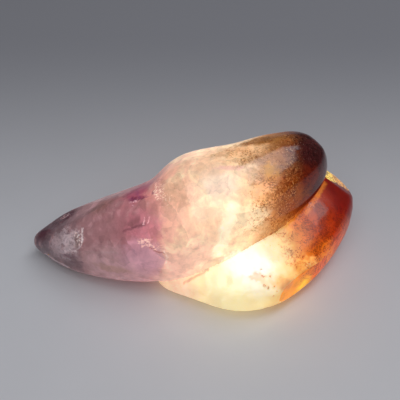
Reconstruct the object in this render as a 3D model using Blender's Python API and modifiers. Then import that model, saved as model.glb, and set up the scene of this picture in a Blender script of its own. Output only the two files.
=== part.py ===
"""Polished auralite crystal: two quartz crystals grown together and tumbled smooth, as one solid.

Metres, +Z up. The long crystal runs along +X from its point to its blunt end. Its blunt end lies
on a shorter, fatter crystal that points away behind it. Both are six-sided, and polishing has
rounded their edges. A few flat facets are left at the point and on the short crystal's end. The
origin is under the middle of the piece, on the face it rests on.
"""

import math

import bmesh
import bpy
from mathutils import Matrix, Vector

MM = 0.001

SIDES = 6
SIDE_FLATNESS = 0.85
ROUNDING_LEVELS = 2
RESTING_FACE_HEIGHT = 0.9
SHADING_ANGLE = math.radians(30.0)

# Sections of a crystal from one end to the other, in millimetres:
# along, across and up to the section's centre, then half its width and half its height.
LONG_SECTIONS = (
    (-1.5, -0.4, 5.8, 2.2, 2.2),
    (2.2, -0.8, 6.6, 4.6, 4.6),
    (7.0, -1.7, 7.9, 8.2, 7.8),
    (12.5, -2.8, 9.4, 10.8, 10.4),
    (19.0, -3.7, 11.2, 12.8, 12.2),
    (26.0, -4.4, 12.6, 14.5, 14.0),
    (33.0, -4.8, 14.9, 15.5, 15.1),
    (40.0, -4.8, 16.7, 16.7, 16.2),
    (47.0, -2.4, 22.3, 18.3, 18.0),
    (54.0, -1.1, 24.3, 16.2, 16.0),
    (61.0, 1.0, 26.1, 14.6, 14.6),
    (68.0, 3.9, 29.0, 12.7, 12.8),
    (73.8, 7.7, 30.4, 10.6, 10.6),
    (77.6, 11.9, 33.1, 5.8, 5.8),
)
SHORT_SECTIONS = (
    (34.0, -12.6, 5.0, 3.2, 3.0),
    (43.0, -13.8, 7.2, 7.2, 6.2),
    (52.0, -13.2, 8.3, 16.0, 9.2),
    (60.0, -9.8, 9.5, 19.4, 10.8),
    (68.0, -2.9, 10.6, 18.4, 11.4),
    (76.2, 5.6, 11.6, 16.4, 11.8),
    (84.2, 12.4, 12.0, 10.6, 9.8),
    (82.8, 20.0, 14.4, 4.6, 5.8),
)

# Facets: a point on the flat, in millimetres, and the way the flat faces.
LONG_FACETS = (
    ((10.5, -9.4, 15.1), (-0.54, -0.51, 0.67)),
    ((8.3, -1.1, 15.4), (-0.52, 0.25, 0.82)),
    ((8.3, -10.0, 9.0), (-0.52, -0.85, -0.08)),
    ((8.3, 5.3, 9.1), (-0.50, 0.86, 0.08)),
)
SHORT_FACETS = (
    ((76.3, -15.6, 5.0), (0.63, -0.77, -0.05)),
    ((84.0, 9.0, 20.0), (0.57, 0.32, 0.76)),
)

CRYSTAL_COLOUR = (0.80, 0.46, 0.36, 1.0)
CRYSTAL_ROUGHNESS = 0.22
QUARTZ_IOR = 1.54
CLARITY = 0.5


def clear_scene():
    for obj in list(bpy.data.objects):
        bpy.data.objects.remove(obj, do_unlink=True)


def section_matrix(centre, direction, half_width, half_height):
    """Stands a unit circle up across the crystal's axis and sizes it to the section."""
    forward = direction.normalized()
    across = Vector((0, 0, 1)).cross(forward).normalized()
    up = forward.cross(across)
    stand_up = Matrix((across, up, forward)).transposed().to_4x4()
    size = Matrix.Diagonal((half_width, half_height, 1.0, 1.0))
    return Matrix.Translation(centre) @ stand_up @ size


def crystal_cage(sections):
    """A closed cage through the sections: six corners a ring, and the middles of six flat sides."""
    bm = bmesh.new()
    centres = [Vector(section[:3]) * MM for section in sections]
    loops = []
    for i, section in enumerate(sections):
        before = centres[max(i - 1, 0)]
        after = centres[min(i + 1, len(centres) - 1)]
        half_width, half_height = section[3] * MM, section[4] * MM
        ring = bmesh.ops.create_circle(bm, segments=2 * SIDES, radius=1.0)["verts"]
        for middle in ring[1::2]:
            middle.co *= SIDE_FLATNESS
        matrix = section_matrix(centres[i], after - before, half_width, half_height)
        bmesh.ops.transform(bm, matrix=matrix, verts=ring)
        loops.append(list({edge for vert in ring for edge in vert.link_edges}))
    for near, far in zip(loops, loops[1:]):
        bmesh.ops.bridge_loops(bm, edges=near + far)
    bmesh.ops.contextual_create(bm, geom=loops[0])
    bmesh.ops.contextual_create(bm, geom=loops[-1])
    bmesh.ops.recalc_face_normals(bm, faces=bm.faces)
    for face in bm.faces:
        face.smooth = True
    return bm


def new_object(name, bm, collection):
    mesh = bpy.data.meshes.new(name)
    bm.to_mesh(mesh)
    bm.free()
    obj = bpy.data.objects.new(name, mesh)
    collection.objects.link(obj)
    return obj


def finished_mesh(obj):
    """The object's mesh with its modifiers worked out."""
    bm = bmesh.new()
    bm.from_object(obj, bpy.context.evaluated_depsgraph_get())
    return bm


def cut_flat(bm, point, facing):
    """Grinds a flat face: all that lies beyond the plane is taken off."""
    everything = bm.verts[:] + bm.edges[:] + bm.faces[:]
    cut = bmesh.ops.bisect_plane(
        bm, geom=everything, plane_co=point, plane_no=facing, clear_outer=True)
    rim = [item for item in cut["geom_cut"] if isinstance(item, bmesh.types.BMEdge)]
    bmesh.ops.edgeloop_fill(bm, edges=rim)


def polished_crystal(name, sections, facets, collection):
    """One crystal: its cage rounded by polishing, then its facets cut."""
    cage = new_object(name + "_cage", crystal_cage(sections), collection)
    polish = cage.modifiers.new("polish", "SUBSURF")
    polish.levels = ROUNDING_LEVELS
    polish.render_levels = ROUNDING_LEVELS
    bm = finished_mesh(cage)
    bpy.data.objects.remove(cage, do_unlink=True)
    for point, facing in facets:
        cut_flat(bm, Vector(point) * MM, Vector(facing).normalized())
    return new_object(name, bm, collection)


def grown_together(crystal, neighbour):
    """The two crystals as one closed body."""
    join = crystal.modifiers.new("grown_together", "BOOLEAN")
    join.operation = "UNION"
    join.solver = "EXACT"
    join.object = neighbour
    bm = finished_mesh(crystal)
    crystal.modifiers.remove(join)
    return bm


def stand_on_origin(bm):
    """Moves the body so that the origin is under its middle, on the face it rests on."""
    low = [min(vert.co[axis] for vert in bm.verts) for axis in range(3)]
    high = [max(vert.co[axis] for vert in bm.verts) for axis in range(3)]
    middle = Vector(((low[0] + high[0]) / 2, (low[1] + high[1]) / 2, low[2]))
    bmesh.ops.translate(bm, verts=bm.verts, vec=-middle)


def crystal_material():
    material = bpy.data.materials.new("auralite")
    material.use_nodes = True
    shader = material.node_tree.nodes["Principled BSDF"]
    shader.inputs["Base Color"].default_value = CRYSTAL_COLOUR
    shader.inputs["Roughness"].default_value = CRYSTAL_ROUGHNESS
    shader.inputs["Metallic"].default_value = 0.0
    shader.inputs["IOR"].default_value = QUARTZ_IOR
    shader.inputs["Transmission Weight"].default_value = CLARITY
    return material


def main():
    clear_scene()
    parts = bpy.data.collections.new("auralite_crystal")
    cutters = bpy.data.collections.new("cutters")
    bpy.context.scene.collection.children.link(parts)
    bpy.context.scene.collection.children.link(cutters)

    long_one = polished_crystal("long_crystal", LONG_SECTIONS, LONG_FACETS, cutters)
    short_one = polished_crystal("short_crystal", SHORT_SECTIONS, SHORT_FACETS, cutters)
    body = grown_together(long_one, short_one)
    for shape in (long_one, short_one):
        bpy.data.objects.remove(shape, do_unlink=True)

    down = Vector((0, 0, -1))
    cut_flat(body, Vector((0, 0, RESTING_FACE_HEIGHT * MM)), down)
    stand_on_origin(body)
    crystal = new_object("crystal", body, parts)
    crystal.data.set_sharp_from_angle(angle=SHADING_ANGLE)
    crystal.data.materials.append(crystal_material())


main()
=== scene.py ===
# %% [markdown]
# # A polished auralite crystal
#
# Auralite is amethyst quartz with thin veils and specks of iron oxide in it. This piece is two
# crystals that grew into each other and were tumbled until their edges went round. We start
# from the plain solid of the stone, which is loaded as a fixed frame, and give it its skin, its
# inner cracks, its specks and its light.

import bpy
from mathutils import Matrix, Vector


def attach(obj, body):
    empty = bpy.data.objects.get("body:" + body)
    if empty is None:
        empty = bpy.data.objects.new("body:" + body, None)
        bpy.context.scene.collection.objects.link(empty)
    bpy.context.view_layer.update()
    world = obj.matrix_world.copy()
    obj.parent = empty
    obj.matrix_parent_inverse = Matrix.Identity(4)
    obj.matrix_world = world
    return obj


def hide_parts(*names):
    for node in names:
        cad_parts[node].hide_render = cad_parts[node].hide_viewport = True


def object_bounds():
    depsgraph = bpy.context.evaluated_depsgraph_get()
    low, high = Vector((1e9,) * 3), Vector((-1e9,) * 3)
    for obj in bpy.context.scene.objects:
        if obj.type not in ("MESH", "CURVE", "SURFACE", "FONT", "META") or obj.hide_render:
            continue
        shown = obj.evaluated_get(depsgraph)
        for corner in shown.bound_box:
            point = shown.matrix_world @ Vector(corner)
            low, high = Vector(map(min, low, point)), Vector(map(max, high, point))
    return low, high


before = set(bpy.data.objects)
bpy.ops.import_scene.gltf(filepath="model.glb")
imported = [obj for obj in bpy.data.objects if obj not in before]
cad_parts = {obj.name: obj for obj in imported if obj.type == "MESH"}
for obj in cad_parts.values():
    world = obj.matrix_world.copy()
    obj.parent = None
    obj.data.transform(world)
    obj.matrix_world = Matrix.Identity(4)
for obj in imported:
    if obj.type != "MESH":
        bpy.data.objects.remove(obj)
solid_low, solid_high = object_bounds()
print("solid from", solid_low[:], "to", solid_high[:])

# %% Modules and units
import math

import bmesh
import bpy
from mathutils import Quaternion, Vector, bvhtree, noise

MM = 0.001

# %% [markdown]
# ## Which crystal is which
#
# The colours of the two crystals meet in a sharp line, along the groove where one lies on the
# other. We could describe that line with a formula, but the solid already knows it: the groove
# is where its faces bend inwards. So we walk over the faces from one that is surely on the
# short crystal, and stop at every edge that bends inwards. The solid comes as loose triangles,
# so the walk is done on a copy with its corners merged.

# %% Walk over the short crystal
WELD = 0.01 * MM
GROOVE_BEND = math.radians(-15.0)
ON_SHORT_CRYSTAL = Vector((28.5, -9.0, 17.6)) * MM


def merged_copy(obj):
    bm = bmesh.new()
    bm.from_mesh(obj.data)
    bmesh.ops.remove_doubles(bm, verts=bm.verts, dist=WELD)
    bmesh.ops.dissolve_degenerate(bm, dist=WELD, edges=bm.edges)
    bm.faces.ensure_lookup_table()
    return bm


def short_crystal_faces(bm):
    tree = bvhtree.BVHTree.FromBMesh(bm)
    start = tree.find_nearest(ON_SHORT_CRYSTAL)[2]
    found = {start}
    waiting = [bm.faces[start]]
    while waiting:
        face = waiting.pop()
        for edge in face.edges:
            if len(edge.link_faces) < 2 or edge.calc_face_angle_signed() < GROOVE_BEND:
                continue
            for neighbour in edge.link_faces:
                if neighbour.index not in found:
                    found.add(neighbour.index)
                    waiting.append(neighbour)
    return tree, found


rough = merged_copy(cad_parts["crystal"])
rough_tree, short_faces = short_crystal_faces(rough)
print("short crystal:", len(short_faces), "of", len(rough.faces), "faces")

# %% [markdown]
# ## The skin
#
# A tumbled stone has no sharp edge left and no perfectly even face. The solid is built from
# flat triangles, so we wrap a finer net round it: the Remesh modifier in voxel mode makes
# even little squares, and a few rounds of smoothing take off the steps. The waves and chips
# are then moves of the net's own points along their normals, so they are real shape.

# %% Wrap a fine net round the solid
NET_SIZE = 0.40 * MM
SMOOTHING_ROUNDS = 4


def piece_from(bm, name):
    mesh = bpy.data.meshes.new(name)
    bm.to_mesh(mesh)
    bm.free()
    obj = bpy.data.objects.new(name, mesh)
    bpy.context.scene.collection.objects.link(obj)
    return obj


def fine_net(bm):
    coarse = piece_from(bm, "coarse")
    wrap = coarse.modifiers.new("wrap", "REMESH")
    wrap.mode = "VOXEL"
    wrap.voxel_size = NET_SIZE
    net = bmesh.new()
    net.from_object(coarse, bpy.context.evaluated_depsgraph_get())
    bpy.data.objects.remove(coarse, do_unlink=True)
    for _ in range(SMOOTHING_ROUNDS):
        bmesh.ops.smooth_vert(
            net, verts=net.verts, factor=0.5, use_axis_x=True, use_axis_y=True, use_axis_z=True)
    net.normal_update()
    return net


net = fine_net(rough)
print("net:", len(net.verts), "points")

# %% Waves of the polish, chips at the point and the notch on the shoulder
WAVE_SIZE = 9.0 * MM
WAVE_HEIGHT = 0.14 * MM
CHIP_SIZE = 1.5 * MM
CHIP_DEPTH = 0.28 * MM
CHIPPED_MIDDLE = Vector((-36.0, -4.5, 12.5)) * MM
CHIPPED_REACH = 9.0 * MM
NOTCH_START = Vector((-16.4, -2.3, 26.6)) * MM
NOTCH_END = Vector((-11.4, -3.2, 29.4)) * MM
NOTCH_WIDTH = 1.0 * MM
NOTCH_DEPTH = 0.55 * MM
RELIEF_STARTS = 1.5 * MM


def fade(distance, reach):
    """1 at no distance, 0 at the reach and beyond, with a soft shoulder."""
    share = max(0.0, 1.0 - distance / reach)
    return share * share * (3.0 - 2.0 * share)


def from_line(point, start, end):
    along = end - start
    share = min(1.0, max(0.0, (point - start).dot(along) / along.length_squared))
    return (point - start - along * share).length


def relief(point):
    wave = noise.noise(point / WAVE_SIZE) * WAVE_HEIGHT
    chipped = fade((point - CHIPPED_MIDDLE).length, CHIPPED_REACH)
    chip = abs(noise.noise(point / CHIP_SIZE)) * CHIP_DEPTH * chipped
    notch = fade(from_line(point, NOTCH_START, NOTCH_END), NOTCH_WIDTH) * NOTCH_DEPTH
    off_the_floor = 1.0 - fade(point.z, RELIEF_STARTS)
    return (wave - chip - notch) * off_the_floor


normals = [vert.normal.copy() for vert in net.verts]
moves = [normal * relief(vert.co) for vert, normal in zip(net.verts, normals)]
for vert, move in zip(net.verts, moves):
    vert.co += move
for face in net.faces:
    face.smooth = True
print("tallest move:", round(max(move.length for move in moves) / MM, 2), "mm")

# %% [markdown]
# ## Labels on the skin
#
# Some finishes belong to a face of the stone and not to a place in space: the short crystal
# itself, the golden flat low at its side and the yellow flat at its rim. Every point of the net
# gets a number from 0 to 1 for each of them, kept as an attribute of the mesh. The material
# reads it.

# %% Label the short crystal and its flats
FLATS = {   # name: the way the flat faces
    "rim_flat": (0.57, 0.32, 0.76),
    "golden_flat": (0.63, -0.77, -0.05),
}
FLAT_WITHIN = math.cos(math.radians(16.0))
FLAT_CORE = math.cos(math.radians(6.0))


def flat_share(normal, facing):
    """1 where the net faces as the flat does, down to 0 where it is turned away from it."""
    likeness = normal.dot(Vector(facing).normalized())
    return min(1.0, max(0.0, (likeness - FLAT_WITHIN) / (FLAT_CORE - FLAT_WITHIN)))


labels = {"short_crystal": [
    float(rough_tree.find_nearest(vert.co)[2] in short_faces) for vert in net.verts]}
for name, facing in FLATS.items():
    labels[name] = [
        flat_share(normal, facing) * short
        for normal, short in zip(normals, labels["short_crystal"])]
stone = piece_from(net, "stone")
for name, values in labels.items():
    stone.data.attributes.new(name, "FLOAT", "POINT").data.foreach_set("value", values)
    print(name, round(sum(values)), "points")
print("stone:", len(stone.data.polygons), "faces")

# %% [markdown]
# ## Writing shader maths as plain expressions
#
# A material is a net of nodes, and every sum in it is a node. Two small helpers keep that
# readable. The first, `Value`, wraps a socket, so that `1 - mask * 0.5` adds its own Math nodes.

# %% A number that changes over the surface
class Value:
    """A number that changes over the surface."""

    def __init__(self, finish, socket):
        self.finish = finish
        self.socket = socket

    def math(self, operation, *others):
        settings = {"operation": operation}
        inputs = {0: self} | {i + 1: other for i, other in enumerate(others)}
        return self.finish.number("ShaderNodeMath", settings, inputs)

    def __add__(self, other):
        return self.math("ADD", other)

    __radd__ = __add__

    def __sub__(self, other):
        return self.math("SUBTRACT", other)

    def __rsub__(self, other):
        return (self * -1.0) + other

    def __mul__(self, other):
        return self.math("MULTIPLY", other)

    __rmul__ = __mul__

    def __truediv__(self, other):
        return self.math("DIVIDE", other)

    def most(self, other):
        return self.math("MAXIMUM", other)

    def least(self, other):
        return self.math("MINIMUM", other)

    def size(self):
        return self.math("ABSOLUTE")

    def step(self, start, end):
        """0 at start, 1 at end, with soft shoulders."""
        settings = {"interpolation_type": "SMOOTHSTEP"}
        inputs = {"Value": self, "From Min": start, "From Max": end}
        if start > end:
            inputs |= {"From Min": end, "From Max": start, "To Min": 1.0, "To Max": 0.0}
        return self.finish.number("ShaderNodeMapRange", settings, inputs)

# %% [markdown]
# The second, `Finish`, holds one material. Its method `node` makes any node from its type, its
# settings and its sockets. The others are short names for what is used most: noises, mixes of
# two colours, eggs, strokes and bands.

# %% A material and its nodes
class Finish:
    """One material and the nodes in it."""

    def __init__(self, name):
        self.material = bpy.data.materials.new(name)
        self.material.use_nodes = True
        self.nodes = self.material.node_tree.nodes
        self.links = self.material.node_tree.links
        self.shader = self.nodes["Principled BSDF"]
        self.place = self.node("ShaderNodeTexCoord").outputs["Object"]

    def fill(self, node, inputs):
        for name, value in inputs.items():
            source = value.socket if isinstance(value, Value) else value
            if isinstance(source, bpy.types.NodeSocket):
                self.links.new(source, node.inputs[name])
            else:
                node.inputs[name].default_value = source

    def node(self, kind, settings=None, inputs=None):
        made = self.nodes.new(kind)
        for name, value in (settings or {}).items():
            setattr(made, name, value)
        self.fill(made, inputs or {})
        return made

    def number(self, kind, settings, inputs):
        return Value(self, self.node(kind, settings, inputs).outputs[0])

    def vector(self, operation, *inputs):
        settings = {"operation": operation}
        made = self.node("ShaderNodeVectorMath", settings, dict(enumerate(inputs)))
        return made.outputs["Value" if operation in ("LENGTH", "DOT_PRODUCT") else "Vector"]

    def patch(self, place, middle, reach, edge):
        """1 inside an egg with this middle and these reaches in millimetres, 0 outside it."""
        offset = self.vector("DIVIDE", self.vector("SUBTRACT", place, middle), reach)
        distance = Value(self, self.vector("LENGTH", offset))
        return distance.step(1.0 + edge, 1.0 - edge)

    def stroke(self, place, start, end, width):
        """1 on the line from start to end, 0 a width away from it."""
        axis = Vector(end) - Vector(start)
        offset = self.vector("SUBTRACT", place, start)
        share = Value(self, self.vector("DOT_PRODUCT", offset, axis[:])) / axis.length_squared
        nearest = self.scaled(axis[:], share.most(0.0).least(1.0))
        distance = Value(self, self.vector("LENGTH", self.vector("SUBTRACT", offset, nearest)))
        return distance.step(width, width * 0.25)

    def mix(self, first, second, share, blend="MIX"):
        settings = {"data_type": "RGBA", "blend_type": blend}
        inputs = {0: share, 6: opaque(first), 7: opaque(second)}
        return self.node("ShaderNodeMix", settings, inputs).outputs[2]

    def scaled(self, vector, by):
        settings = {"operation": "SCALE"}
        return self.node("ShaderNodeVectorMath", settings, {0: vector, "Scale": by}).outputs[0]

    def axes(self, vector):
        made = self.node("ShaderNodeSeparateXYZ", None, {0: vector})
        return [Value(self, out) for out in made.outputs]

    def noise(self, place, scale, detail=3.0, roughness=0.55):
        inputs = {"Vector": place, "Scale": scale, "Detail": detail, "Roughness": roughness}
        return self.node("ShaderNodeTexNoise", None, inputs).outputs

    def cloud(self, place, scale, detail=3.0, roughness=0.55):
        return Value(self, self.noise(place, scale, detail, roughness)[0])

    def swing(self, place, scale, detail=3.0, roughness=0.55):
        """The same noise, from -0.5 to 0.5."""
        return self.cloud(place, scale, detail, roughness) - 0.5

    def ramp(self, share, stops):
        """A colour band: stops are pairs of a place from 0 to 1 and a colour."""
        made = self.node("ShaderNodeValToRGB", None, {0: share})
        band = made.color_ramp.elements
        while len(band) < len(stops):
            band.new(0.5)
        for element, (place, colour) in zip(band, stops):
            element.position = place
            element.color = opaque(colour)
        return made.outputs["Color"]

    def finish(self, **inputs):
        self.fill(self.shader, {name.replace("_", " "): value for name, value in inputs.items()})
        return self.material


def opaque(colour):
    return (*colour, 1.0) if isinstance(colour, tuple) else colour


print("shader helpers ready")

# %% [markdown]
# ## Places in the stone
#
# All patterns below are drawn in the stone's own millimetres. Natural colour zones never have
# straight borders, so a place is first bent by a noise: by a slow one for the large zones, by a
# quicker one for the ragged edges of stains, and by a fine one for the smallest marks. A pattern
# that is drawn on bent places comes out bent, and needs no noise of its own.

# %% Coordinates in millimetres, straight and bent
PER_METRE = 1000.0
SLOW_BEND = (0.10, 7.0)   # waves in a millimetre, and how far they move a place
RAGGED_BEND = (0.42, 3.0)
FINE_BEND = (0.9, 1.5)
NOT_MOVED = (0.5, 0.5, 0.5)
quartz = Finish("auralite")


def bent(finish, place, per_mm, reach):
    """The place, moved by a noise, up to half the reach to each side."""
    colour = finish.noise(place, per_mm, 3.0)[1]
    move = finish.vector("SUBTRACT", colour, NOT_MOVED)
    return finish.vector("ADD", place, finish.scaled(move, reach))


in_mm = quartz.scaled(quartz.place, PER_METRE)
slow = bent(quartz, in_mm, *SLOW_BEND)
ragged = bent(quartz, in_mm, *RAGGED_BEND)
fine = bent(quartz, in_mm, *FINE_BEND)
straight_along, straight_across, straight_up = quartz.axes(in_mm)
along, _, up = quartz.axes(slow)
tear = quartz.swing(in_mm, 0.9, 4.0, 0.65)
print("places ready")

# %% Read the labels of the skin
FLAT_EDGE = (0.1, 0.6)


def label(name):
    """A label of the skin, as a number from 0 to 1."""
    found = quartz.node("ShaderNodeAttribute", {"attribute_name": name})
    return Value(quartz, found.outputs["Fac"])


on_short = label("short_crystal")
on_golden = label("golden_flat").step(*FLAT_EDGE)
on_rim = label("rim_flat").step(*FLAT_EDGE)
print("labels read")

# %% [markdown]
# ## The large zones of colour
#
# The long crystal is amethyst at its point. Towards its blunt end iron has turned the quartz
# peach, then golden brown and burgundy. The short crystal goes through amber to deep red, and its
# band is painted pale, almost white, where light shines through it. Each run of colours is a band
# along one direction.
#
# A colour ramp wants places from 0 to 1. We write them in millimetres, which can be measured on
# the stone, and a helper turns them into the ramp's own numbers.

# %% The band of the long crystal
LONG_BAND = (   # millimetres along the long crystal, colour
    (-45.0, (0.130, 0.075, 0.095)),
    (-38.0, (0.200, 0.122, 0.138)),
    (-30.0, (0.340, 0.185, 0.192)),
    (-21.0, (0.400, 0.192, 0.204)),
    (-14.0, (0.490, 0.190, 0.212)),
    (-8.0, (0.690, 0.340, 0.300)),
    (1.0, (0.930, 0.670, 0.460)),
    (8.0, (0.900, 0.670, 0.440)),
    (14.0, (0.840, 0.590, 0.350)),
    (20.0, (0.540, 0.240, 0.080)),
    (25.0, (0.240, 0.055, 0.009)),
    (30.0, (0.085, 0.007, 0.003)),
    (36.0, (0.040, 0.003, 0.002)),
)


def band(finish, millimetres, stops):
    first, last = stops[0][0], stops[-1][0]
    share = (millimetres - first) / (last - first)
    return finish.ramp(share, [((mm - first) / (last - first), tone) for mm, tone in stops])


long_colour = band(quartz, along, LONG_BAND)
print("long crystal:", len(LONG_BAND), "colours")

# %% [markdown]
# The short crystal is thin near the floor and lets more light out there. So it has two bands, one
# for its upper part and a brighter one for its foot, and they are mixed by the height.

# %% The bands of the short crystal
SHORT_BAND = (   # millimetres towards the red end, colour
    (-12.0, (0.97, 0.650, 0.440)),
    (-7.0, (0.98, 0.780, 0.500)),
    (-2.0, (0.98, 0.900, 0.580)),
    # The palest stops, nearly white, are painted light, where light shines through the crystal.
    (4.0, (1.00, 0.960, 0.680)),
    (8.5, (1.00, 1.000, 0.840)),
    (12.0, (1.00, 0.970, 0.760)),
    (15.0, (0.92, 0.800, 0.500)),
    (18.4, (0.90, 0.660, 0.300)),
    (21.7, (0.80, 0.380, 0.080)),
    (24.5, (0.64, 0.180, 0.014)),
    (28.5, (0.45, 0.075, 0.003)),
    (32.0, (0.40, 0.042, 0.001)),
    (36.0, (0.36, 0.026, 0.001)),
    (39.0, (0.22, 0.006, 0.001)),
    (43.0, (0.17, 0.004, 0.001)),
)
FOOT_BAND = (   # the same, near the floor
    (-12.0, (0.97, 0.700, 0.420)),
    (2.0, (0.98, 0.820, 0.420)),
    (10.0, (0.97, 0.740, 0.290)),
    (17.0, (0.90, 0.480, 0.070)),
    (25.0, (0.78, 0.280, 0.020)),
    (33.0, (0.54, 0.110, 0.004)),
    (43.0, (0.32, 0.030, 0.002)),
)
REDDENS_TOWARDS = (0.95, 0.32, 0.0)
FOOT_TOP = 15.5
FOOT_BOTTOM = 8.5
FOOT_STRENGTH = 0.8
towards_red = Value(quartz, quartz.vector("DOT_PRODUCT", ragged, REDDENS_TOWARDS))
foot = up.step(FOOT_TOP, FOOT_BOTTOM) * FOOT_STRENGTH
short_colour = quartz.mix(
    band(quartz, towards_red, SHORT_BAND), band(quartz, towards_red, FOOT_BAND), foot)
print("short crystal:", len(SHORT_BAND), "and", len(FOOT_BAND), "colours")

# %% [markdown]
# ## The healed fracture
#
# Across the long crystal runs a fracture that healed while the stone grew. Left of it the quartz
# is rose, right of it it is peach, and fine fringes run over the border. They come from a noise
# that is drawn out along the crystal and moves the border back and forth.

# %% Where rose meets peach
FRACTURE_AT = -9.6
FRACTURE_WIDTH = 2.0
FRACTURE_LEAN = -0.06
FRACTURE_TEAR = 1.2
FRINGE_REACH = 7.0
FRINGE_STRETCH = (0.12, 0.9, 0.9)
PEACH = (0.90, 0.560, 0.420)
PEACH_REACH = 9.0
PEACH_STRENGTH = 0.55
fringes = quartz.swing(quartz.vector("MULTIPLY", in_mm, FRINGE_STRETCH), 1.0, 3.0, 0.7)
border = (straight_along + straight_up * FRACTURE_LEAN
          + fringes * FRINGE_REACH + tear * FRACTURE_TEAR)
past = border.step(FRACTURE_AT - FRACTURE_WIDTH, FRACTURE_AT + FRACTURE_WIDTH)
near = past * border.step(FRACTURE_AT + PEACH_REACH, FRACTURE_AT)
long_colour = quartz.mix(long_colour, PEACH, near * PEACH_STRENGTH)
print("fracture at", FRACTURE_AT, "mm")

# %% [markdown]
# ## Cloudy patches
#
# Between the bands' smooth colours the quartz is patchy, in soft-edged clouds a few millimetres
# wide: pale yellow and pinkish tan in the peach part, grey and pink in the amethyst part. Each
# cloud is the high or the low part of a noise. The label of the groove then picks the crystal.

# %% Clouds
PALE_YELLOW = (0.99, 0.820, 0.540)
PINKISH_TAN = (0.78, 0.430, 0.310)
GREY_MAUVE = (0.28, 0.150, 0.150)
PINK_HAZE = (0.56, 0.320, 0.330)
VEIL_STRETCH = (1.25, 0.8, 0.8)
PEACH_STARTS = (-10.0, -5.0)
PEACH_ENDS = (22.0, 12.0)
AMETHYST_ENDS = (-6.0, -10.0)
veils = quartz.vector("MULTIPLY", slow, VEIL_STRETCH)
big_clouds = quartz.cloud(slow, 0.17, 3.0, 0.5)
small_clouds = quartz.cloud(veils, 0.42, 4.0, 0.5)
peach_part = straight_along.step(*PEACH_STARTS) * straight_along.step(*PEACH_ENDS)
amethyst_part = straight_along.step(*AMETHYST_ENDS)
CLOUDS = (   # where, noise, its value at no cloud and at full cloud, colour, strength
    (peach_part, big_clouds, 0.50, 0.64, PALE_YELLOW, 0.55),
    (peach_part, small_clouds, 0.50, 0.38, PINKISH_TAN, 0.24),
    (amethyst_part, big_clouds, 0.50, 0.34, GREY_MAUVE, 0.45),
    (amethyst_part, small_clouds, 0.50, 0.68, PINK_HAZE, 0.50),
)
for part, cloud, none, full, tone, strength in CLOUDS:
    long_colour = quartz.mix(long_colour, tone, cloud.step(none, full) * part * strength)
colour = quartz.mix(long_colour, short_colour, on_short)
print("kinds of cloud:", len(CLOUDS))
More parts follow.
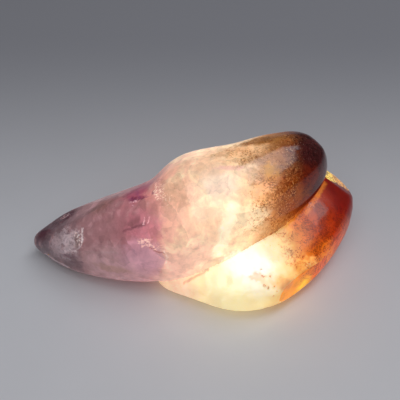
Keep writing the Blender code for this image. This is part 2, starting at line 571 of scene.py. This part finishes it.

# %% [markdown]
# ## Marks that belong to one place
#
# Some marks are accidents of this stone: a violet cloud at the shoulder, the brown stains near
# the blunt end. One is painted light: the white patch in the short crystal, just under the
# groove, where the light through it is brightest. Each is an egg with a middle, a size and a
# colour, laid over the bands with a torn edge. A table keeps them together, and a loop lays them
# on in its order, so a later one covers an earlier one.

# %% Stains, clouds and a patch of painted light
STAINS_AND_PAINTED_LIGHT = (   # middle, reach, colour, softness of the edge, how torn it is, strength
    ((-22.0, -13.5, 12.5), (13.0, 4.5, 7.4), (0.55, 0.340, 0.350), 0.30, 0.3, 0.75),
    ((-23.0, 6.0, 19.5), (8.0, 3.5, 3.5), (0.52, 0.260, 0.240), 0.60, 0.4, 0.65),
    ((-24.6, -0.6, 22.0), (4.4, 2.6, 2.0), (0.28, 0.140, 0.115), 0.60, 0.6, 0.55),
    ((-28.4, 2.6, 19.4), (4.6, 3.2, 2.4), (0.52, 0.290, 0.300), 0.50, 0.5, 0.65),
    ((-34.0, -9.0, 8.6), (5.6, 3.6, 3.6), (0.150, 0.080, 0.095), 0.50, 0.4, 0.75),
    ((-21.5, -13.6, 11.5), (5.0, 2.6, 1.4), (0.38, 0.220, 0.170), 0.50, 0.6, 0.60),
    ((-25.7, -12.0, 16.0), (1.5, 1.4, 0.8), (0.26, 0.130, 0.150), 0.50, 0.6, 0.60),
    ((-16.5, -9.5, 22.6), (3.8, 4.0, 3.0), (0.27, 0.120, 0.130), 0.60, 0.5, 0.60),
    ((-12.4, -10.2, 24.4), (5.2, 4.8, 3.2), (0.60, 0.220, 0.270), 0.50, 0.6, 0.65),
    ((-14.8, 1.6, 26.8), (5.2, 4.2, 2.4), (0.30, 0.065, 0.120), 0.40, 0.5, 0.85),
    ((-1.5, -15.6, 16.0), (6.0, 4.0, 5.0), (0.90, 0.580, 0.450), 0.60, 0.6, 0.60),
    ((-4.0, -16.5, 7.0), (6.0, 4.0, 4.5), (0.93, 0.640, 0.500), 0.60, 0.5, 0.75),
    ((-4.4, -6.6, 32.3), (3.6, 4.0, 3.0), (0.66, 0.400, 0.280), 0.50, 0.8, 0.80),
    ((3.4, 1.0, 36.0), (5.0, 2.6, 2.4), (0.80, 0.500, 0.340), 0.50, 0.9, 0.40),
    ((6.4, -4.6, 35.6), (4.8, 4.2, 3.0), (0.84, 0.660, 0.520), 0.40, 0.6, 0.60),
    ((1.0, -15.8, 20.0), (5.0, 3.0, 5.0), (0.84, 0.530, 0.410), 0.50, 0.8, 0.60),
    ((14.5, -11.0, 28.4), (5.8, 3.6, 4.4), (0.98, 0.830, 0.540), 0.40, 0.8, 0.75),
    ((19.0, -6.8, 32.6), (4.2, 3.4, 3.2), (0.88, 0.500, 0.230), 0.50, 1.0, 0.70),
    ((-3.0, 2.5, 34.0), (4.0, 3.0, 3.0), (0.72, 0.460, 0.320), 0.50, 0.9, 0.45),
    ((12.0, 5.0, 37.0), (7.0, 5.0, 3.0), (0.66, 0.370, 0.170), 0.60, 0.9, 0.60),
    ((20.5, 9.0, 37.5), (7.6, 3.2, 3.2), (0.40, 0.170, 0.035), 0.40, 0.5, 0.75),
    ((25.8, -5.0, 29.8), (6.4, 5.0, 5.2), (0.25, 0.055, 0.001), 0.50, 0.8, 0.85),
    ((16.5, 9.0, 37.0), (6.0, 2.6, 3.0), (0.20, 0.080, 0.004), 0.40, 0.6, 0.75),
    ((20.5, 0.0, 37.5), (6.0, 3.6, 3.0), (0.30, 0.130, 0.050), 0.60, 0.8, 0.65),
    ((31.5, 8.0, 36.0), (6.4, 7.0, 6.0), (0.046, 0.006, 0.007), 0.50, 0.6, 0.92),
    ((30.6, -0.6, 33.0), (3.6, 3.4, 3.0), (0.13, 0.010, 0.001), 0.50, 0.7, 0.85),
    ((19.6, -2.2, 36.6), (2.2, 2.4, 2.2), (0.64, 0.310, 0.030), 0.60, 0.7, 0.75),
    # Painted light: the white patch under the groove, where light through the short crystal is
    # brightest.
    ((14.0, -15.6, 15.6), (6.0, 3.6, 3.0), (1.00, 1.000, 0.900), 0.40, 0.5, 0.80),
    ((16.4, -18.6, 14.4), (2.0, 1.2, 1.2), (0.84, 0.560, 0.360), 0.30, 0.8, 0.75),
    ((20.0, -19.2, 13.2), (3.4, 1.8, 1.4), (0.86, 0.560, 0.300), 0.40, 0.6, 0.55),
    ((23.6, -19.6, 12.4), (2.6, 2.2, 2.6), (0.86, 0.440, 0.120), 0.50, 0.7, 0.65),
    ((29.0, -14.8, 15.0), (3.2, 2.4, 1.8), (0.78, 0.310, 0.070), 0.50, 0.8, 0.40),
    ((31.0, -13.4, 13.8), (4.8, 2.2, 1.6), (0.98, 0.500, 0.140), 0.40, 0.8, 0.80),
    ((35.6, -9.4, 11.6), (3.8, 4.4, 3.6), (0.90, 0.250, 0.012), 0.60, 0.7, 0.75),
    ((41.6, -1.4, 11.0), (3.0, 6.0, 4.4), (0.60, 0.085, 0.002), 0.60, 0.7, 0.65),
    ((34.6, 0.8, 19.0), (1.8, 2.3, 1.8), (0.26, 0.060, 0.030), 0.30, 0.9, 0.60),
)
TEAR_REACH = 2.2


def torn_patch(middle, reach, edge, torn):
    """1 inside an egg with a torn edge, 0 outside it."""
    offset = quartz.vector("DIVIDE", quartz.vector("SUBTRACT", ragged, middle), reach)
    distance = Value(quartz, quartz.vector("LENGTH", offset)) + tear * (TEAR_REACH * torn)
    return distance.step(1.0 + edge, 1.0 - edge)


for middle, reach, tone, edge, torn, strength in STAINS_AND_PAINTED_LIGHT:
    colour = quartz.mix(colour, tone, torn_patch(middle, reach, edge, torn) * strength)
print("stains:", len(STAINS_AND_PAINTED_LIGHT))

# %% [markdown]
# One cloud is not an egg. It is lilac, and runs out into a tip where it meets the healed
# fracture. So an egg is cut off by a line whose place falls back above and below the tip.

# %% The lilac cloud that ends at the fracture
LILAC = (0.54, 0.300, 0.360)
LILAC_TIP = -6.9
LILAC_TIP_UP = 18.0
LILAC_TAPER = 0.3
LILAC_EDGE = 0.5
LILAC_STRENGTH = 0.85
lilac = torn_patch((-12.6, -15.2, 17.6), (6.6, 4.2, 5.4), 0.5, 0.4)
lilac_end = LILAC_TIP - (straight_up - LILAC_TIP_UP).size() * LILAC_TAPER + tear
lilac = lilac * (lilac_end - straight_along).step(0.0, LILAC_EDGE)
colour = quartz.mix(colour, LILAC, lilac * LILAC_STRENGTH)
print("lilac cloud laid")

# %% [markdown]
# ## The point
#
# The point is bruised. A dark burgundy band lies along its upper edge. Next to it the polish is
# broken into a frosted patch that ends in a straight step, as quartz breaks along a growth line.
# The frost is light where it is freshly broken, and has dark pits and streaks in it.

# %% The dark band
BURGUNDY = (0.080, 0.004, 0.018)
BURGUNDY_STRENGTH = 0.92
burgundy = torn_patch((-42.6, 1.0, 11.0), (3.2, 3.0, 3.0), 0.5, 0.5).most(
    torn_patch((-37.8, 3.0, 13.8), (6.2, 3.0, 2.8), 0.4, 0.5))
colour = quartz.mix(colour, BURGUNDY, burgundy * BURGUNDY_STRENGTH)
print("dark band laid")

# %% The frosted patch
FROST = (0.58, 0.440, 0.470)
BRIGHT_FROST = (0.78, 0.640, 0.660)
DIRTY_FROST = (0.34, 0.230, 0.190)
FROST_PIT = (0.17, 0.090, 0.110)
BRIGHT_STRENGTH = 0.9
DIRTY_STRENGTH = 0.8
PIT_STRENGTH = 0.9
STREAK_STRENGTH = 0.6
FROST_STRENGTH = 0.85
FROST_STEP = -29.8
STEP_WIDTH = 0.5
STEP_TEAR = 0.8
STREAK_STRETCH = (0.35, 1.0, 1.0)
frosting = torn_patch((-34.6, -6.2, 13.2), (6.4, 3.8, 4.4), 0.6, 0.6)
past_the_step = (straight_along + tear * STEP_TEAR).step(FROST_STEP, FROST_STEP - STEP_WIDTH)
frosting = frosting * past_the_step
pits = quartz.cloud(in_mm, 1.2, 4.0, 0.7).step(0.42, 0.32)
streaks = quartz.cloud(quartz.vector("MULTIPLY", ragged, STREAK_STRETCH), 1.3, 3.0, 0.6)
broken = pits * PIT_STRENGTH + streaks.step(0.50, 0.36) * STREAK_STRENGTH
bright = torn_patch((-33.8, -6.0, 14.8), (4.2, 2.8, 2.6), 0.8, 0.6)
dirty = torn_patch((-31.2, -7.4, 15.8), (1.3, 1.5, 1.5), 0.4, 0.5)
frost_colour = quartz.mix(FROST, BRIGHT_FROST, bright * BRIGHT_STRENGTH)
frost_colour = quartz.mix(frost_colour, DIRTY_FROST, dirty * DIRTY_STRENGTH)
frost_colour = quartz.mix(frost_colour, FROST_PIT, broken.least(1.0) * PIT_STRENGTH)
colour = quartz.mix(colour, frost_colour, frosting * FROST_STRENGTH)
print("frosted patch laid")

# %% The shade left of the step
SHADE_HEIGHT = (17.0, 13.0)
SHADE_DEPTH = -0.18
# Painted shade: the low part of the point, left of the step, is made up to 18 percent darker.
shaded = past_the_step * straight_up.step(*SHADE_HEIGHT)
colour = quartz.scaled(colour, shaded * SHADE_DEPTH + 1.0)
print("point coloured")

# %% [markdown]
# ## The two flats
#
# The short crystal has two flats that catch the light. The golden one, low at its side, is bright
# at one end, reddens at the other and has a smudge. The yellow one at its rim is full of dark
# dots. Their labels say where they are, so the colour ends at the edge of the flat.

# %% The golden flat
GOLD = (0.80, 0.235, 0.001)
GOLD_RED = (0.50, 0.055, 0.001)
GOLD_BRIGHT = (1.00, 0.560, 0.010)
GOLD_SMUDGE = (0.46, 0.170, 0.090)
GOLD_REDDENS = (-17.0, -10.0)
GOLD_TEAR = 4.0
GOLD_STRENGTH = 0.9
SPOT_STRENGTH = 0.85
SMUDGE_STRENGTH = 0.6
reddens = (straight_across + tear * GOLD_TEAR).step(*GOLD_REDDENS)
colour = quartz.mix(colour, quartz.mix(GOLD, GOLD_RED, reddens), on_golden * GOLD_STRENGTH)
gold_spot = quartz.patch(ragged, (29.6, -15.0, 6.0), (2.2, 2.4, 3.4), 0.7)
colour = quartz.mix(colour, GOLD_BRIGHT, on_golden * gold_spot * SPOT_STRENGTH)
smudge = quartz.patch(ragged, (24.6, -19.3, 11.7), (1.9, 1.7, 1.9), 0.7)
colour = quartz.mix(colour, GOLD_SMUDGE, smudge * SMUDGE_STRENGTH)
print("golden flat coloured")

# %% The yellow flat at the rim
RIM_YELLOW = (1.00, 0.680, 0.090)
RIM_TAN = (0.66, 0.280, 0.050)
RIM_DOT = (0.06, 0.016, 0.002)
RIM_TAPER = (0.636, 1.0, 1.0)
RIM_BORDER = (56.0, 56.8)
RIM_TANS = (39.4, 41.6)
TAN_STRENGTH = 0.9
DOT_STRENGTH = 0.9
RIM_STRENGTH = 0.95
above_the_border = Value(quartz, quartz.vector("DOT_PRODUCT", fine, RIM_TAPER))
rim = on_rim * above_the_border.step(*RIM_BORDER)
rim_colour = quartz.mix(RIM_YELLOW, RIM_TAN, straight_along.step(*RIM_TANS) * TAN_STRENGTH)
rim_dots = quartz.cloud(in_mm, 1.25, 3.0, 0.6).step(0.49, 0.45)
rim_colour = quartz.mix(rim_colour, RIM_DOT, rim_dots * DOT_STRENGTH)
colour = quartz.mix(colour, rim_colour, rim * RIM_STRENGTH)
print("yellow flat coloured")

# %% [markdown]
# ## Cracks, streaks and painted glints
#
# Fine cracks run under the skin, dark where they are open. The thin pale strokes are painted
# glints, light flashing off the cracks.
# Each is a straight stroke between two places, and the bent coordinates make it waver. A thin
# one is also broken up by a noise, because an even thin line looks drawn. Broad ones are bent
# more, and read as veils.

# %% Strokes
STREAKS_AND_GLINTS = (   # start, end, width, colour, strength
    ((-16.4, -2.3, 26.6), (-13.6, -3.0, 27.9), 1.1, (0.16, 0.030, 0.080), 0.90),
    ((-13.6, -3.0, 27.9), (-10.4, -3.4, 29.9), 0.7, (0.26, 0.080, 0.130), 0.75),
    ((-15.0, 1.0, 26.4), (-14.5, -2.5, 27.5), 0.8, (0.24, 0.060, 0.130), 0.60),
    ((-18.0, -9.8, 22.4), (-12.7, -9.7, 25.0), 0.7, (0.22, 0.080, 0.100), 0.75),
    ((-16.2, -8.8, 23.9), (-14.4, -8.2, 25.0), 1.3, (0.26, 0.110, 0.120), 0.60),
    ((-16.6, -3.2, 26.0), (-14.8, -3.6, 27.0), 0.5, (0.80, 0.500, 0.560), 0.70),
    ((-12.5, -8.5, 25.9), (-12.8, -9.7, 24.9), 0.34, (0.92, 0.560, 0.600), 0.85),
    ((-11.4, -8.8, 26.3), (-11.7, -9.9, 25.3), 0.34, (0.92, 0.560, 0.600), 0.85),
    ((-14.0, -13.3, 21.8), (-11.2, -13.5, 23.0), 0.42, (1.00, 0.660, 0.560), 0.90),
    ((-13.4, -14.1, 21.2), (-11.0, -14.4, 22.0), 0.4, (1.00, 0.660, 0.560), 0.80),
    ((-16.6, -12.6, 21.0), (-14.2, -13.2, 21.9), 0.9, (0.66, 0.340, 0.400), 0.60),
    ((-11.2, -14.8, 21.2), (-7.6, -15.9, 20.5), 0.5, (0.40, 0.140, 0.130), 0.85),
    ((-10.8, -14.3, 21.9), (-7.4, -15.4, 21.3), 0.4, (1.00, 0.720, 0.600), 0.80),
    ((-7.4, -15.7, 20.9), (-6.6, -15.9, 19.2), 0.42, (1.00, 0.780, 0.700), 0.80),
    ((-6.6, -15.9, 19.2), (-7.2, -15.9, 16.6), 0.42, (0.98, 0.740, 0.620), 0.60),
    ((-15.9, -13.9, 19.9), (-14.3, -14.8, 18.3), 0.4, (0.34, 0.190, 0.250), 0.60),
    ((-35.4, -8.1, 10.6), (-29.9, -10.0, 12.8), 0.9, (0.15, 0.070, 0.090), 0.80),
    ((-34.0, -9.0, 8.8), (-30.2, -10.6, 10.8), 0.7, (0.15, 0.075, 0.095), 0.75),
    ((-42.0, -3.2, 5.2), (-35.0, -8.0, 5.6), 0.6, (0.60, 0.470, 0.500), 0.60),
    ((-29.9, -5.4, 18.4), (-29.8, -8.1, 16.6), 0.45, (0.88, 0.740, 0.740), 0.85),
    ((-35.2, -8.0, 12.2), (-31.5, -9.4, 13.8), 0.45, (0.76, 0.620, 0.640), 0.70),
    ((-31.5, -9.4, 13.8), (-29.8, -8.6, 16.2), 0.4, (0.82, 0.680, 0.690), 0.70),
    ((4.5, -1.2, 36.2), (12.1, -1.6, 37.2), 1.0, (0.80, 0.460, 0.440), 0.55),
    ((-2.6, -16.4, 9.0), (3.6, -15.4, 13.0), 0.6, (0.50, 0.260, 0.190), 0.60),
    ((9.4, -17.6, 14.4), (9.0, -22.4, 8.4), 1.4, (0.92, 0.740, 0.430), 0.60),
    ((3.6, -17.4, 11.8), (3.2, -20.0, 8.6), 1.1, (0.94, 0.740, 0.480), 0.50),
    ((15.0, -19.6, 13.0), (15.4, -22.4, 8.8), 0.9, (0.92, 0.720, 0.400), 0.45),
    ((-29.0, -11.0, 15.4), (-20.0, -13.6, 18.0), 0.6, (0.52, 0.360, 0.360), 0.45),
    ((-25.0, -13.4, 12.4), (-17.0, -15.0, 13.0), 0.5, (0.70, 0.500, 0.450), 0.50),
    ((36.6, 10.4, 20.2), (34.2, 5.4, 20.4), 1.2, (0.86, 0.270, 0.030), 0.75),
    ((34.2, 5.4, 20.4), (30.6, -0.6, 19.8), 1.2, (0.86, 0.250, 0.020), 0.60),
    ((9.9, -9.8, 31.6), (8.2, -13.4, 27.2), 2.8, (0.99, 0.930, 0.680), 0.90),
    ((8.2, -13.4, 27.2), (6.2, -15.0, 19.0), 2.6, (0.98, 0.900, 0.640), 0.80),
)
BROAD = 2.0
THIN = 0.55
BREAK_UP = 0.85
broken_up = quartz.cloud(in_mm, 1.7, 3.0, 0.65).step(0.34, 0.52)
# The thin pale strokes paint glints of light off the cracks into the colour; the dark ones are
# cracks.
for start, end, width, tone, strength in STREAKS_AND_GLINTS:
    line = quartz.stroke(ragged if width > BROAD else fine, start, end, width)
    if width < THIN:
        line = line * (broken_up * BREAK_UP + (1.0 - BREAK_UP))
    colour = quartz.mix(colour, tone, line * strength)
print("streaks:", len(STREAKS_AND_GLINTS))

# %% [markdown]
# ## Painted glints
#
# Where a crack ends under the skin it splits into small flakes that flash in the light. That
# flash is painted into the colour as bright glints. They sit in a few clusters. Inside a cluster,
# only the crests of a fine noise are shown.

# %% Clusters of painted glints
GLINT_CLUSTERS = (   # middle, reach, colour, how many
    ((-36.6, 3.4, 14.0), (3.0, 1.6, 1.8), (0.52, 0.330, 0.340), 1.2),
    ((-30.8, -7.0, 16.6), (1.5, 2.6, 2.0), (0.98, 0.820, 0.780), 1.0),
    ((-33.5, -8.6, 12.8), (3.0, 1.2, 1.6), (0.80, 0.660, 0.680), 0.8),
    ((-15.4, -3.6, 26.8), (1.6, 1.0, 1.0), (0.85, 0.540, 0.600), 0.9),
    ((-9.0, -3.4, 30.8), (1.8, 3.4, 2.0), (1.00, 0.780, 0.640), 1.0),
    ((-7.0, -6.4, 31.0), (1.6, 3.0, 1.8), (1.00, 0.800, 0.640), 0.8),
    ((-12.6, -13.6, 22.4), (2.4, 1.2, 1.2), (1.00, 0.700, 0.580), 0.9),
    ((-9.0, -15.0, 21.6), (2.2, 1.2, 1.2), (1.00, 0.700, 0.560), 0.9),
    ((30.6, -14.0, 14.2), (1.6, 1.2, 0.9), (1.00, 0.860, 0.620), 0.7),
)
GLINT_STRETCH = (0.6, 1.0, 1.0)
GLINTS_PER_MM = 2.1
CLUSTER_EDGE = 0.7
CLUSTER_LIFT = 0.14
crests = quartz.cloud(quartz.vector("MULTIPLY", in_mm, GLINT_STRETCH), GLINTS_PER_MM, 3.0, 0.7)
# Each cluster paints bright glints into the colour: flakes flashing in the light.
for middle, reach, tone, share in GLINT_CLUSTERS:
    cluster = quartz.patch(fine, middle, reach, CLUSTER_EDGE) * share
    glints = (crests + cluster * CLUSTER_LIFT).step(0.64, 0.71) * cluster
    colour = quartz.mix(colour, tone, glints.least(1.0))
print("clusters of flakes:", len(GLINT_CLUSTERS))

# %% [markdown]
# ## Grains of iron oxide
#
# Hematite sits in the stone as fine dark grains, thickest near the blunt end and on the right of
# the short crystal. First we say where they crowd. The grains touch and clump, so they are the
# crests of a fine noise and not round dots, and they come lower down the crests in a crowd. A
# second noise gives the sparks of clear quartz between them.

# %% Where the grains crowd
SPECKLED = (   # middle, reach in millimetres, how crowded
    ((25.0, -5.0, 29.0), (11.0, 9.0, 11.0), 1.00),
    ((28.0, 5.0, 36.0), (10.0, 10.0, 6.0), 0.90),
    ((35.0, -6.0, 13.0), (13.5, 13.0, 9.0), 1.00),
    ((16.0, -12.0, 27.0), (4.0, 4.0, 6.0), 0.60),
    ((13.0, 4.0, 37.0), (8.0, 6.0, 4.0), 0.60),
    ((2.0, -4.0, 33.0), (11.0, 9.0, 6.0), 0.16),
)
CROWD_EDGE = 0.6
GATHERED = 0.8
crowd = None
for middle, reach, most in SPECKLED:
    here = quartz.patch(slow, middle, reach, CROWD_EDGE) * most
    crowd = here if crowd is None else crowd.most(here)
gathered = quartz.cloud(in_mm, 0.38, 4.0, 0.7).step(0.36, 0.62)
crowd = crowd * (gathered * GATHERED + (1.0 - GATHERED))
in_crowd = crowd.step(0.0, 0.3)
print("crowds of grains:", len(SPECKLED))

# %% Grains and sparks
GRAINS_PER_MM = 2.3
GRAIN_LIFT = 0.20
SPARKS_PER_MM = 2.4
SPARK_LIFT = 0.14
SPARKS_END = (29.0, 24.0)
SPARKS_ON_SHORT = 0.5
grain_crests = quartz.cloud(in_mm, GRAINS_PER_MM, 4.0, 0.68)
spark_crests = quartz.cloud(ragged, SPARKS_PER_MM, 2.0, 0.6)
dark_grains = (grain_crests + crowd * GRAIN_LIFT).step(0.60, 0.74) * in_crowd
sparks = (spark_crests + crowd * SPARK_LIFT).step(0.63, 0.74) * in_crowd
sparks = sparks * (straight_along.step(*SPARKS_END) * (1.0 - on_short * SPARKS_ON_SHORT))
print("grains and sparks ready")

# %% Single grains in the clear part
DOTS = (   # middle, reach in millimetres: the few single grains in the clear part
    ((17.8, -18.4, 14.5), 0.34), ((19.9, -18.5, 14.3), 0.30), ((18.3, -20.5, 13.1), 0.34),
    ((19.3, -20.8, 12.6), 0.40), ((20.9, -20.4, 12.5), 0.26), ((21.7, -20.7, 11.2), 0.30),
    ((20.8, -21.3, 9.8), 0.28), ((17.6, -16.8, 15.2), 0.30), ((15.8, -14.6, 16.0), 0.24),
)
for middle, reach in DOTS:
    dark_grains = dark_grains.most(quartz.patch(fine, middle, (reach,) * 3, 0.5))
print("single grains:", len(DOTS))

# %% Mottles between the grains, and dots on the dark end
MOTTLES_PER_MM = 1.3
MOTTLE_CROWD = (0.1, 0.6)
END_MIDDLE = (27.0, 7.0, 37.0)
END_REACH = (6.0, 5.0, 4.0)
mottles = quartz.cloud(ragged, MOTTLES_PER_MM, 5.0, 0.72).step(0.50, 0.42)
mottles = mottles * crowd.step(*MOTTLE_CROWD)
end_dots = spark_crests.step(0.60, 0.68) * quartz.patch(slow, END_MIDDLE, END_REACH, 0.5)
print("mottles ready")

# %% [markdown]
# ## The fine grain of the quartz
#
# Even where nothing lies in it, quartz is never one flat colour. Growth blocks differ a little in
# tone, with crooked borders, and a haze hangs over them. A Voronoi texture's cells are such
# blocks, and two noises are the haze. Their sum makes the colour darker or lighter. The grains
# and sparks come last, so that nothing hides them.

# %% Blocks, haze and grain
BLOCKS_PER_MM = 0.26
SMALL_BLOCKS_PER_MM = 0.5
BLOCK_SHADE = 0.18
SMALL_BLOCK_SHADE = 0.08
HAZE_SHADE = 0.5
GRAIN_SHADE = 0.22
SHADE_STRENGTH = 1.4
CLEARER_ON_SHORT = 0.25


def patchwork(finish, place, per_mm):
    """A number that jumps from one crooked cell to the next, -0.5 to 0.5."""
    cells = finish.node("ShaderNodeTexVoronoi", None, {"Vector": place, "Scale": per_mm})
    return finish.axes(cells.outputs["Color"])[0] - 0.5


haze = quartz.swing(veils, 0.35, 4.0, 0.5)
grain = quartz.swing(ragged, 1.5, 4.0, 0.65)
blocks = (patchwork(quartz, slow, BLOCKS_PER_MM) * BLOCK_SHADE
          + patchwork(quartz, fine, SMALL_BLOCKS_PER_MM) * SMALL_BLOCK_SHADE)
shade = haze * HAZE_SHADE + grain * GRAIN_SHADE + blocks
shade = shade * (1.0 - on_short * CLEARER_ON_SHORT)
colour = quartz.scaled(colour, shade * SHADE_STRENGTH + 1.0)
print("grain laid")

# %% Lay on sparks, dots, mottles and grains
TOUCHES = (   # colour, where and how strong, blend
    ((1.00, 0.620, 0.240), sparks * 0.42, "MIX"),
    ((0.440, 0.280, 0.240), end_dots * 0.35, "MIX"),
    ((0.560, 0.360, 0.220), mottles * 0.85, "MULTIPLY"),
    ((0.440, 0.270, 0.150), dark_grains * 0.8, "MULTIPLY"),
)
for tone, share, blend in TOUCHES:
    colour = quartz.mix(colour, tone, share, blend)
print("touches:", len(TOUCHES))

# %% [markdown]
# ## Light in the stone
#
# A lit quartz glows from within, and real light would have to be traced through every veil in it.
# Instead the glow is given as emission in the stone's own colours. It falls off with the distance
# from a hot core in the middle and a smaller one at the upper back, and the flats and the thin
# right edge of the short crystal get some of their own.

# %% Glow
GLOW_EDGE = 0.26
CORES = (   # middle, reach, strength
    ((15.0, -9.0, 17.0), (46.0, 36.0, 34.0), 0.30),
    ((5.0, 10.0, 35.0), (24.0, 13.0, 12.0), 0.34),
)
CORE_FADES = (1.0, 0.15)
EDGE_MIDDLE = (38.5, -6.0, 10.0)
EDGE_REACH = (7.0, 9.0, 6.5)
EDGE_GLOW = 0.20
RIM_GLOW = 0.50
GOLD_GLOW = 0.17
at_the_edge = quartz.patch(slow, EDGE_MIDDLE, EDGE_REACH, 0.8) * on_short
strength = rim * RIM_GLOW + on_golden * GOLD_GLOW + at_the_edge * EDGE_GLOW
for middle, reach, core_glow in CORES:
    offset = quartz.vector("DIVIDE", quartz.vector("SUBTRACT", slow, middle), reach)
    near_core = Value(quartz, quartz.vector("LENGTH", offset)).step(*CORE_FADES)
    strength = strength + near_core * core_glow
light = quartz.scaled(colour, strength + GLOW_EDGE)
print("cores of light:", len(CORES))

# %% [markdown]
# ## Polish
#
# The polish is bright on the long crystal and on the flats, a little matt on the rest of the
# short crystal, and gone on the frosted patch. There a bump stands for pits that are too small to
# be shape.
#
# Polished quartz is clear at the skin and cloudy inside. The shader mixes both: a part of the
# light goes straight through, bent by quartz's index of 1.54, and the rest scatters under the
# surface and comes out near where it went in.

# %% Gloss, clearness and the finished stone
CLEAR_SPOT = (34.6, 0.8, 19.0)
SPOT_REACH = (3.4, 4.4, 3.0)
POLISHED = 0.08
MATT = 0.20
FROSTED = 0.35
GRAINY = 0.2
BUMP_FROSTED = 0.9
BUMP_POLISHED = 0.05
polished_part = rim.most(on_golden).most(quartz.patch(slow, CLEAR_SPOT, SPOT_REACH, 0.4))
matt_part = on_short * (1.0 - polished_part)
bumps = quartz.cloud(in_mm, 2.4, 4.0, 0.6) * (frosting * BUMP_FROSTED + BUMP_POLISHED)
bump = quartz.node("ShaderNodeBump", None, {
    "Height": bumps, "Distance": 0.4 * MM, "Strength": 0.6})
quartz.finish(
    Base_Color=colour,
    Emission_Color=light,
    Emission_Strength=1.0,
    Roughness=frosting * FROSTED + grain.size() * GRAINY + matt_part * MATT + POLISHED,
    Normal=bump.outputs[0],
    IOR=1.54,
    Transmission_Weight=0.30,
    Subsurface_Weight=1.0,
    Subsurface_Radius=(1.0, 0.75, 0.65),
    Subsurface_Scale=0.6 * MM,
    Specular_IOR_Level=0.34,
)
stone.data.materials.append(quartz.material)
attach(stone, "root")
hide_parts("crystal")
print("nodes in the stone's finish:", len(quartz.nodes))

# %% [markdown]
# ## A floor to lie on
#
# The stone rests on a plain pale sheet. In a studio the paper runs on far behind the thing, so
# that no edge shows, and gets darker where it leaves the light. Here it is one large square, and
# that darkening is painted shade: its colour goes from pale to grey behind the stone.

# %% A pale floor
FLOOR_HALF = 12.0
PAPER = (0.62, 0.62, 0.63)
PAPER_LIGHT = (0.66, 0.66, 0.67)
PAINTED_PAPER_SHADE = (0.28, 0.28, 0.30)
PAPER_DARKENS = (-0.02, 0.12)   # metres behind the stone
FIBRES_PER_METRE = 40.0
floor_mesh = bmesh.new()
bmesh.ops.create_grid(floor_mesh, x_segments=1, y_segments=1, size=FLOOR_HALF)
floor = piece_from(floor_mesh, "floor")
paper = Finish("pale_floor")
fibres = paper.cloud(paper.place, FIBRES_PER_METRE)
# Painted shade: the floor's colour goes grey behind the stone, where the light falls off.
shade_behind = paper.axes(paper.place)[1].step(*PAPER_DARKENS)
paper_colour = paper.mix(paper.mix(PAPER, PAPER_LIGHT, fibres), PAINTED_PAPER_SHADE, shade_behind)
floor.data.materials.append(paper.finish(Base_Color=paper_colour, Roughness=0.7))
print("floor laid")

# %% [markdown]
# ## Soft studio light
#
# A polished stone shows its lamps as reflections, so their shape and place matter as much as
# their power. Four oval area lamps stand round it: a large one overhead, which does most of the
# lighting, a long one at the right that draws the soft patch on the blunt end, and two small ones
# for the small patches of light on the upper side and on the short crystal. A lamp's place is
# given as a compass angle and a height angle, which is easier to think in than x, y and z.

# %% Lamps
SCENE = bpy.context.scene
COOL_WHITE = (0.92, 0.94, 1.0)
MIDDLE = (solid_low + solid_high) / 2
LAMPS = (   # name, azimuth, elevation, distance, width, height, power, roll
    ("overhead", 0.0, 60.0, 0.75, 0.88, 0.78, 2.55, 0.0),
    ("window", 99.0, 67.0, 0.8, 0.36, 0.54, 1.45, 41.0),
    ("skylight", 14.0, 74.0, 0.7, 0.17, 0.22, 0.22, 0.0),
    ("pane", 116.0, 48.0, 0.8, 0.12, 0.12, 0.09, 0.0),
)


def softbox(name, azimuth, elevation, distance, width, height, power, roll):
    """A lamp at this place round the stone, turned to it; the roll is about its own axis."""
    lamp = bpy.data.lights.new(name, "AREA")
    lamp.shape = "ELLIPSE"
    lamp.size = width
    lamp.size_y = height
    lamp.energy = power
    lamp.color = COOL_WHITE
    a, e = math.radians(azimuth), math.radians(elevation)
    towards = Vector((math.sin(a) * math.cos(e), -math.cos(a) * math.cos(e), math.sin(e)))
    obj = bpy.data.objects.new(name, lamp)
    obj.location = MIDDLE + towards * distance
    turn = (-towards).to_track_quat("-Z", "Y") @ Quaternion((0.0, 0.0, 1.0), math.radians(roll))
    obj.rotation_euler = turn.to_euler()
    SCENE.collection.objects.link(obj)


for lamp in LAMPS:
    softbox(*lamp)
print("lamps:", len(LAMPS))

# %% The light of the room
SKY = (0.95, 0.96, 1.0, 1.0)
SKY_STRENGTH = 0.09
room = bpy.data.worlds.new("studio")
room.use_nodes = True
background = room.node_tree.nodes["Background"]
background.inputs["Color"].default_value = SKY
background.inputs["Strength"].default_value = SKY_STRENGTH
SCENE.world = room
print("room light:", SKY_STRENGTH)

# %% [markdown]
# ## Camera
#
# The camera stands 20 centimetres away and looks down at 45 degrees, as a hand would hold it over
# a table. So near, the clipping distance has to be small, or the front of the stone is cut off.

# %% Look at the stone
AIM = Vector((1.67, 2.64, 21.3)) * MM
CAMERA_DISTANCE = 0.200
CAMERA_ELEVATION = math.radians(45.0)
LENS = 66.0
lens = bpy.data.cameras.new("camera")
lens.lens = LENS
lens.clip_start = 1.0 * MM
camera = bpy.data.objects.new("camera", lens)
back = Vector((0.0, -math.cos(CAMERA_ELEVATION), math.sin(CAMERA_ELEVATION)))
camera.location = AIM + back * CAMERA_DISTANCE
camera.rotation_euler = (-back).to_track_quat("-Z", "Y").to_euler()
SCENE.collection.objects.link(camera)
SCENE.camera = camera
SCENE.view_settings.view_transform = "Standard"
print("camera at", camera.location[:])
